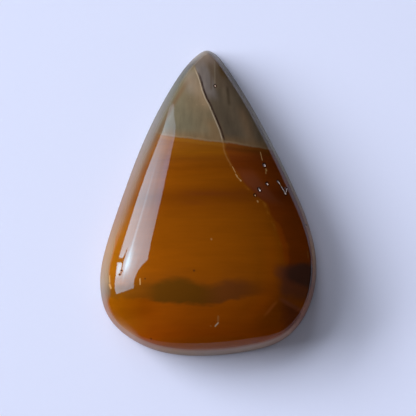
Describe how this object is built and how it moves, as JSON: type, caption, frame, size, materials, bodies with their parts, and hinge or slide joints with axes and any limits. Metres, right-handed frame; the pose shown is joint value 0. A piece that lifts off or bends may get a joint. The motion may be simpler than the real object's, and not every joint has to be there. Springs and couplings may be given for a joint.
{
  "type": "polished jasper cabochon",
  "caption": "Pear-shaped polished jasper cabochon with a flat back, a steep side and a low dome, crossed by a hairline fracture.",
  "frame": {"origin": "on the flat back, under the middle of the stone's box", "axes": "+Y towards the pointed end, +Z out of the polished dome, +X to the right as seen from above the dome"},
  "size_m": [0.0262, 0.038, 0.0072],
  "materials": {
    "jasper": "polished"
  },
  "bodies": {
    "root": {"jasper_cabochon": "jasper"}
  },
  "joints": []
}
